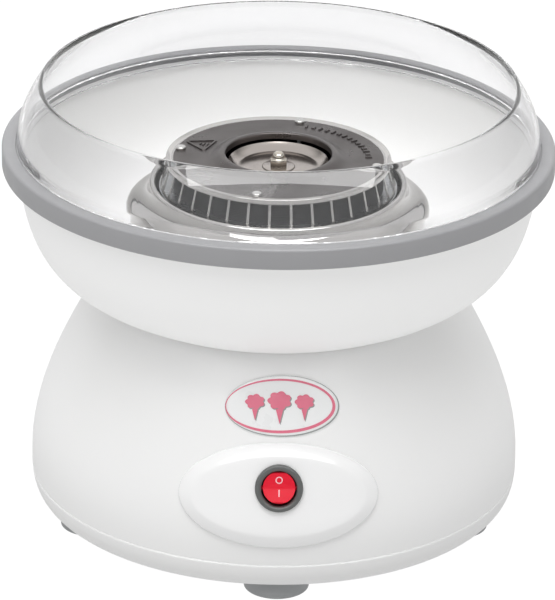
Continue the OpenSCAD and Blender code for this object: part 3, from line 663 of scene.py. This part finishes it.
# %% Helpers for materials
def linear(hex_colour):
    """An sRGB hex colour as linear red, green, blue and alpha."""
    values = [int(hex_colour[i:i + 2], 16) / 255 for i in (0, 2, 4)]
    return [v / 12.92 if v <= 0.04045 else ((v + 0.055) / 1.055) ** 2.4 for v in values] + [1]


def add(material, kind, inputs=None, **settings):
    """Adds a node with its settings. An input is a value or another node's output."""
    node = material.node_tree.nodes.new(kind)
    for key, value in settings.items():
        setattr(node, key, value)
    for key, value in (inputs or {}).items():
        if isinstance(value, bpy.types.NodeSocket):
            material.node_tree.links.new(value, node.inputs[key])
        else:
            node.inputs[key].default_value = value
    return node


def principled(name, colour, rough, **sockets):
    """A material and its Principled shader, with the shader's own sockets set."""
    material = bpy.data.materials.new(name)
    material.use_nodes = True
    shader = material.node_tree.nodes["Principled BSDF"]
    shader.inputs["Base Color"].default_value = linear(colour)
    shader.inputs["Roughness"].default_value = rough
    for key, value in sockets.items():
        shader.inputs[key.replace("_", " ")].default_value = value
    return material, shader


# %% [markdown]
# A moulded surface is never perfect. The mould's own texture shows as a faint ripple, and the gloss changes
# a little from place to place. Both patterns come from noise whose scale is one over the size of the grain.

# %% Recipe for moulded surfaces
def moulded(name, colour, second, rough, grain_mm, ripple_mm, patch_mm=None, **sockets):
    """Plastic, rubber or ceramic: two close colours, uneven gloss and a fine ripple."""
    material, shader = principled(name, colour, rough, **sockets)
    link = material.node_tree.links.new
    place = add(material, "ShaderNodeTexCoord").outputs["Object"]
    patch = (patch_mm or 12 * grain_mm) * MM
    cloud = add(material, "ShaderNodeTexNoise", {"Vector": place, "Scale": 1 / patch, "Detail": 3})
    tint = add(material, "ShaderNodeMix", {0: cloud.outputs["Fac"], 6: linear(colour), 7: linear(second)},
               data_type="RGBA")
    gloss = add(material, "ShaderNodeMapRange",
                {"Value": cloud.outputs["Fac"], "From Min": 0.3, "From Max": 0.7, "To Min": rough * 0.85,
                 "To Max": rough * 1.2})
    grain = add(material, "ShaderNodeTexNoise", {"Vector": place, "Scale": 1 / (grain_mm * MM), "Detail": 4})
    ripple = add(material, "ShaderNodeBump", {"Height": grain.outputs["Fac"], "Strength": 0.3,
                                              "Distance": ripple_mm * MM})
    link(tint.outputs[2], shader.inputs["Base Color"])
    link(gloss.outputs["Result"], shader.inputs["Roughness"])
    link(ripple.outputs["Normal"], shader.inputs["Normal"])
    return material


# %% [markdown]
# The housing and the bowl are white ABS from a satin mould, and the panel comes from a polished one. The grip
# ring is the same plastic with grey pigment and a finer texture. None is perfectly even, which is what keeps
# them from looking drawn.

# %% White and grey ABS
abs_white = moulded("abs_white_moulded", "F1F1F0", "F3F3F3", 0.36, 1.6, 0.03, 70, IOR=1.53)
abs_panel = moulded("abs_white_polished_panel", "F3F3F3", "F5F5F5", 0.14, 2.4, 0.02, 60, IOR=1.53)
abs_grey = moulded("abs_grey_moulded", "8F8F91", "939395", 0.42, 1.0, 0.06, IOR=1.53)

# %% [markdown]
# Switch nylon, the rocker's ABS, the feet's rubber, the fan and the ceramics differ in pigment, gloss and grain.

# %% Other mouldings
nylon_dark = moulded("nylon_dark_grey", "5A5C5B", "626463", 0.38, 0.5, 0.04, IOR=1.53)
abs_red = moulded("abs_red_rocker", "DE0E2B", "E41230", 0.5, 0.8, 0.01, Specular_IOR_Level=0.25)
ink_white = moulded("ink_pink_white_switch_mark", "F4B4BC", "F6C2C8", 0.5, 0.3, 0.01)
rubber_foot = moulded("rubber_grey_feet", "A3A5A7", "ABADAE", 0.6, 0.8, 0.08)
rubber_black = moulded("rubber_black_gland", "1C1C1D", "262627", 0.65, 0.8, 0.08)
nylon_fan = moulded("nylon_black_fan", "1E1F21", "2A2B2D", 0.45, 1.2, 0.05, IOR=1.53)
steatite = moulded("steatite_ceramic_bush", "E8E0CC", "F0EADB", 0.55, 0.6, 0.05)
polyamide = moulded("polyamide_terminal_block", "DDDCD4", "E8E7E0", 0.5, 0.8, 0.04)
polyester_film = moulded("polyester_film_capacitor", "D9A31C", "E6B638", 0.3, 1.5, 0.03)
carbon_block = moulded("carbon_brush_block", "1B1B1C", "2B2B2D", 0.75, 0.4, 0.06)

# %% [markdown]
# The badge is polyester film: white ground, then pink and grey inks with a satin face and a fine print grain.

# %% Printed film
film_white = moulded("polyester_label_white", "EFF0F0", "F2F3F3", 0.3, 0.8, 0.01)
ink_pink = moulded("ink_pink_badge", "DB6C85", "E2788E", 0.35, 0.4, 0.01)
ink_grey = moulded("ink_grey_badge", "8F9391", "999D9B", 0.35, 0.4, 0.01)

# %% [markdown]
# Metal keeps the marks of how it was made. Spun and turned pieces carry fine rings round the axis, so their
# pattern is a wave in rings about Z. A real polishing ring is some 0.05 mm wide, too fine to show here, so most
# rings are drawn 0.3 to 0.6 mm apart. A cloudy noise in the gloss stands for handling and heat. A wave texture
# has a ring every 2 pi / 20 of its scale, which `RING_PHASE` allows for.

# %% Recipe for turned and polished metal
RING_PHASE = 2 * math.pi / 20


def spun_metal(name, colour, rough, ring_mm, ring_depth_mm, uneven=0.3):
    """Metal with fine rings round the axis and an uneven polish."""
    material, shader = principled(name, colour, rough, Metallic=1.0)
    link = material.node_tree.links.new
    place = add(material, "ShaderNodeTexCoord").outputs["Object"]
    rings = add(material, "ShaderNodeTexWave",
                {"Vector": place, "Scale": RING_PHASE / (ring_mm * MM), "Distortion": 1.5, "Detail": 2.0},
                wave_type="RINGS", rings_direction="Z")
    cloud = add(material, "ShaderNodeTexNoise", {"Vector": place, "Scale": 1 / (18 * MM), "Detail": 4})
    gloss = add(material, "ShaderNodeMapRange",
                {"Value": cloud.outputs["Fac"], "From Min": 0.3, "From Max": 0.7,
                 "To Min": rough * (1 - uneven), "To Max": rough * (1 + uneven)})
    marks = add(material, "ShaderNodeBump", {"Height": rings.outputs["Fac"], "Strength": 0.4,
                                             "Distance": ring_depth_mm * MM})
    link(gloss.outputs["Result"], shader.inputs["Roughness"])
    link(marks.outputs["Normal"], shader.inputs["Normal"])
    return material


mirror_steel = spun_metal("stainless_steel_mirror_polished", "CFCDCB", 0.05, 0.6, 0.0012)
bright_steel = spun_metal("stainless_steel_bright", "D6D5D3", 0.14, 0.4, 0.002)
slot_steel = spun_metal("stainless_steel_slotted_band", "C9C8C6", 0.22, 0.4, 0.003)
nickel = spun_metal("nickel_plated_nut", "D4CDC2", 0.16, 3.0, 0.0002)
dish_steel = spun_metal("stainless_steel_dish", "B3ACA7", 0.13, 0.4, 0.002)
satin_cover = spun_metal("anodised_aluminium_dark_satin", "6B6766", 0.33, 0.5, 0.004)
zinc_steel = spun_metal("zinc_plated_steel", "B9BBBD", 0.34, 0.5, 0.004, 0.5)
spun_aluminium = spun_metal("aluminium_spun", "C8CACC", 0.3, 0.4, 0.004)
steel_ground = spun_metal("steel_ground_shaft", "B4B4B6", 0.2, 0.3, 0.002)
brass = spun_metal("brass_pressed", "C9A24B", 0.28, 0.5, 0.003)
bronze = spun_metal("bronze_sintered_bearing", "9A7440", 0.5, 0.3, 0.006)
lamination = spun_metal("steel_lamination_stack", "77787C", 0.48, 0.5, 0.006)
heater_sheath = spun_metal("nickel_alloy_heater_sheath", "4A4744", 0.45, 0.6, 0.004, 0.5)
copper_wire = spun_metal("copper_wire_enamelled", "9C5527", 0.3, 0.5, 0.02)

# %% [markdown]
# The windows of the band show a fine dark gauze. Its wires are 0.25 mm apart on a real one. Only the wires that
# run round the axis are drawn, 0.9 mm apart, as bands of a wave up the wall.

# %% Gauze behind the slots
gauze, gauze_shader = principled("steel_gauze_dark", "2E2E2F", 0.6, Metallic=0.3)
gauze_place = add(gauze, "ShaderNodeTexCoord").outputs["Object"]
wires = add(gauze, "ShaderNodeTexWave", {"Vector": gauze_place, "Scale": RING_PHASE / (0.9 * MM)},
            wave_type="BANDS", bands_direction="Z")
patches = add(gauze, "ShaderNodeTexNoise", {"Vector": gauze_place, "Scale": 1 / (9 * MM), "Detail": 2})
gauze_tone = add(gauze, "ShaderNodeMix", {0: patches.outputs["Fac"], 6: linear("121213"), 7: linear("464648")},
                 data_type="RGBA")
gauze_bump = add(gauze, "ShaderNodeBump", {"Height": wires.outputs["Fac"], "Strength": 0.8, "Distance": 0.1 * MM})
gauze.node_tree.links.new(gauze_tone.outputs[2], gauze_shader.inputs["Base Color"])
gauze.node_tree.links.new(gauze_bump.outputs["Normal"], gauze_shader.inputs["Normal"])

# %% [markdown]
# The guard is clear styrene-acrylonitrile. Its real refractive index is 1.57. The light that passes through is
# bent here with 1.2, because a thin wall moves what is behind it very little and the smooth shading of a turned
# mesh would move it more. A clear coat with an index of 1.5 gives the surface its true reflection back. A trace
# of noise in the roughness stands for the fine scuffs of washing.

# %% Clear guard
clear_san, clear_shader = principled(
    "san_clear_guard", "EEEEEF", 0.0, IOR=1.2, Coat_Weight=1.0, Coat_IOR=1.5, Coat_Roughness=0.0,
    Transmission_Weight=1.0)
clear_place = add(clear_san, "ShaderNodeTexCoord").outputs["Object"]
scuffs = add(clear_san, "ShaderNodeTexNoise", {"Vector": clear_place, "Scale": 1 / (4 * MM), "Detail": 5})
scuff_gloss = add(clear_san, "ShaderNodeMapRange",
                  {"Value": scuffs.outputs["Fac"], "From Min": 0.6, "From Max": 0.8, "To Min": 0.0,
                   "To Max": 0.04})
clear_san.node_tree.links.new(scuff_gloss.outputs["Result"], clear_shader.inputs["Roughness"])

# %% [markdown]
# ## Dressing every piece and node
# Each material slot of the part has one finish. A new piece takes the one of its slot, unless `own_finish` gives
# it another by name, and every design node that is still shown takes the finish of its slot too.

# %% Give out the finishes
slot_finish = {
    "white_plastic": abs_white, "panel_plastic": abs_panel, "label": film_white, "grey_plastic": abs_grey,
    "foot_rubber": rubber_foot, "black_rubber": rubber_black, "switch_black": nylon_dark, "switch_red": abs_red,
    "mark_white": ink_white, "brass": brass, "zinc_steel": zinc_steel, "chrome": nickel,
    "bright_steel": bright_steel, "aluminium": spun_aluminium, "cover_grey": satin_cover,
    "slot_steel": slot_steel, "screen_dark": gauze, "heater_sheath": heater_sheath, "ceramic": steatite,
    "lamination": lamination, "copper_wire": copper_wire, "bronze": bronze, "carbon": carbon_block,
    "capacitor_yellow": polyester_film, "terminal_white": polyamide, "fan_plastic": nylon_fan,
    "clear_plastic": clear_san,
}
own_finish = {
    "polished_shroud": mirror_steel, "bright_rim": mirror_steel, "dish": dish_steel, "washer": dish_steel,
    "badge_pink_outline": ink_pink, "badge_picture": ink_pink,
    "badge_grey_outline": ink_grey, "badge_shadow": ink_grey,
}
for obj in bpy.context.scene.objects:
    if obj.type == "MESH" and "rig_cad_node" not in obj:
        obj.data.materials.clear()
        obj.data.materials.append(own_finish.get(obj.name) or slot_finish[obj["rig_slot"]])
for part in record["subparts"]:
    for material_slot in frame["nodes"][part["node"]].material_slots:
        material_slot.material = slot_finish[part["material_slot"]]
print("finishes:", len(slot_finish) + len(set(own_finish.values())))

# %% [markdown]
# ## The studio
# The floor is a large pale sheet that glows white to the camera and through the clear guard. Its bounce lights
# the underside of the bowl and the foot of the housing, and it is weaker close to the machine, where a real one
# stands in its own shade. Reflections see it dimmer still, so the guard keeps grey edges against the white.

# %% Floor
def larger(material, one, other):
    """The larger of two node outputs."""
    return add(material, "ShaderNodeMath", {0: one, 1: other}, operation="MAXIMUM").outputs["Value"]


FLOOR_R = 6
FLOOR_SHINE = 0.68
floor_mesh = bmesh.new()
bmesh.ops.create_circle(floor_mesh, cap_ends=True, segments=64, radius=FLOOR_R)
floor_data = bpy.data.meshes.new("studio_floor")
floor_mesh.to_mesh(floor_data)
floor_mesh.free()
floor = bpy.data.objects.new("studio_floor", floor_data)
bpy.context.scene.collection.objects.link(floor)
floor_paper, floor_shader = principled("paper_white_floor", "303030", 0.95)
floor_shader.inputs["Emission Color"].default_value = (1, 1, 1, 1)
floor_place = add(floor_paper, "ShaderNodeTexCoord").outputs["Object"]
reach = add(floor_paper, "ShaderNodeVectorMath", {0: floor_place}, operation="LENGTH")
bounce = add(floor_paper, "ShaderNodeMapRange",
             {"Value": reach.outputs["Value"], "From Min": 0.13, "From Max": 0.5, "To Min": 0.66, "To Max": 1.35})
floor_rays = add(floor_paper, "ShaderNodeLightPath")
plain = larger(floor_paper, floor_rays.outputs["Is Camera Ray"], floor_rays.outputs["Is Transmission Ray"])
shine = add(floor_paper, "ShaderNodeMix",
            {0: floor_rays.outputs["Is Glossy Ray"], 2: bounce.outputs["Result"], 3: FLOOR_SHINE})
floor_glow = add(floor_paper, "ShaderNodeMix", {0: plain, 2: shine.outputs[0], 3: 1.0})
floor_paper.node_tree.links.new(floor_glow.outputs[0], floor_shader.inputs["Emission Strength"])
floor_data.materials.append(floor_paper)

# %% [markdown]
# The world is a soft dome, bright overhead and behind, dim in front and at the sides. The camera and the rays
# that pass through the guard see it as white. A mirror-sharp reflection never sees it darker than `EDGE_GLOW`,
# which stands for the pale walls of a studio.

# %% Dome of light
HORIZON = 0.14
ZENITH = 0.95
BACKDROP = 1.0
EDGE_GLOW = 0.6
world = bpy.data.worlds.new("studio_dome")
bpy.context.scene.world = world
world.use_nodes = True
world.node_tree.nodes.clear()
way = add(world, "ShaderNodeTexCoord").outputs["Generated"]
split = add(world, "ShaderNodeSeparateXYZ", {"Vector": way})
overhead = add(world, "ShaderNodeMapRange",
               {"Value": split.outputs["Z"], "From Min": 0.35, "From Max": 0.75, "To Min": HORIZON,
                "To Max": ZENITH})
behind = add(world, "ShaderNodeMapRange",
             {"Value": split.outputs["Y"], "From Min": 0.3, "From Max": 0.8, "To Min": 0.0, "To Max": BACKDROP})
rays = add(world, "ShaderNodeLightPath")
sharp = add(world, "ShaderNodeMath", {0: rays.outputs["Is Singular Ray"], 1: EDGE_GLOW}, operation="MULTIPLY")
glow = larger(world, overhead.outputs["Result"], behind.outputs["Result"])
direct = larger(world, rays.outputs["Is Camera Ray"], rays.outputs["Is Transmission Ray"])
seen = larger(world, direct, sharp.outputs["Value"])
dome = add(world, "ShaderNodeBackground", {"Color": (1, 1, 1, 1), "Strength": larger(world, glow, seen)})
add(world, "ShaderNodeOutputWorld", {"Surface": dome.outputs["Background"]})

# %% [markdown]
# Three area lights share the work. A wide one in front shows only in reflections: it is the pale band on the
# guard and the light lines on the steel. A skylight overhead shades the forms from above, and a smaller box high
# on the left lights the front. Those two are kept out of reflections, so that they add no spots of their own.

# %% Softboxes
LIT_POINT = Vector((0, 0, 0.15))


def softbox(name, place, width, height, power, shows=True):
    """A rectangular area light at place, turned towards the machine, in metres and watts."""
    light = bpy.data.lights.new(name, "AREA")
    light.shape = "RECTANGLE"
    light.size = width
    light.size_y = height
    light.energy = power
    lamp = bpy.data.objects.new(name, light)
    bpy.context.scene.collection.objects.link(lamp)
    lamp.location = place
    lamp.rotation_euler = (LIT_POINT - Vector(place)).to_track_quat("-Z", "Y").to_euler()
    lamp.visible_camera = False
    lamp.visible_glossy = shows
    return lamp


front = softbox("softbox_front", (0.0, -1.5, 2.0), 3.4, 0.75, 46)
front.visible_diffuse = False
front.visible_transmission = False
softbox("softbox_high", (-0.6, -1.3, 1.9), 1.4, 1.4, 10, shows=False)
softbox("skylight", (-0.1, -0.4, 2.4), 1.6, 1.6, 36, shows=False)

# %% [markdown]
# ## The camera
# A long lens far away keeps the ovals of the bowl calm. It looks down at 23.75 degrees from just left of
# straight in front, and it is rolled by less than a degree.

# %% Camera
ELEVATION = math.radians(23.75)
VIEW_TURN = math.radians(1.33)
ROLL = math.radians(0.93)
DISTANCE = 2.2
AIM = Vector((0, 0, 0.1101))
SIDE_STEP = 0.6 * MM
away = Vector((-math.sin(VIEW_TURN) * math.cos(ELEVATION), -math.cos(VIEW_TURN) * math.cos(ELEVATION),
               math.sin(ELEVATION)))
side = Vector((math.cos(VIEW_TURN), -math.sin(VIEW_TURN), 0)) * SIDE_STEP
lens = bpy.data.cameras.new("camera")
lens.lens = 264
lens.sensor_width = 36
lens.clip_end = 50
camera = bpy.data.objects.new("camera", lens)
bpy.context.scene.collection.objects.link(camera)
camera.location = AIM + away * DISTANCE + side
camera.rotation_euler = (
    (-away).to_track_quat("-Z", "Y").to_matrix() @ Matrix.Rotation(ROLL, 3, "Z")
).to_euler()
bpy.context.scene.camera = camera
bpy.context.scene.view_settings.view_transform = "Standard"
print("camera at", [round(v, 4) for v in camera.location])
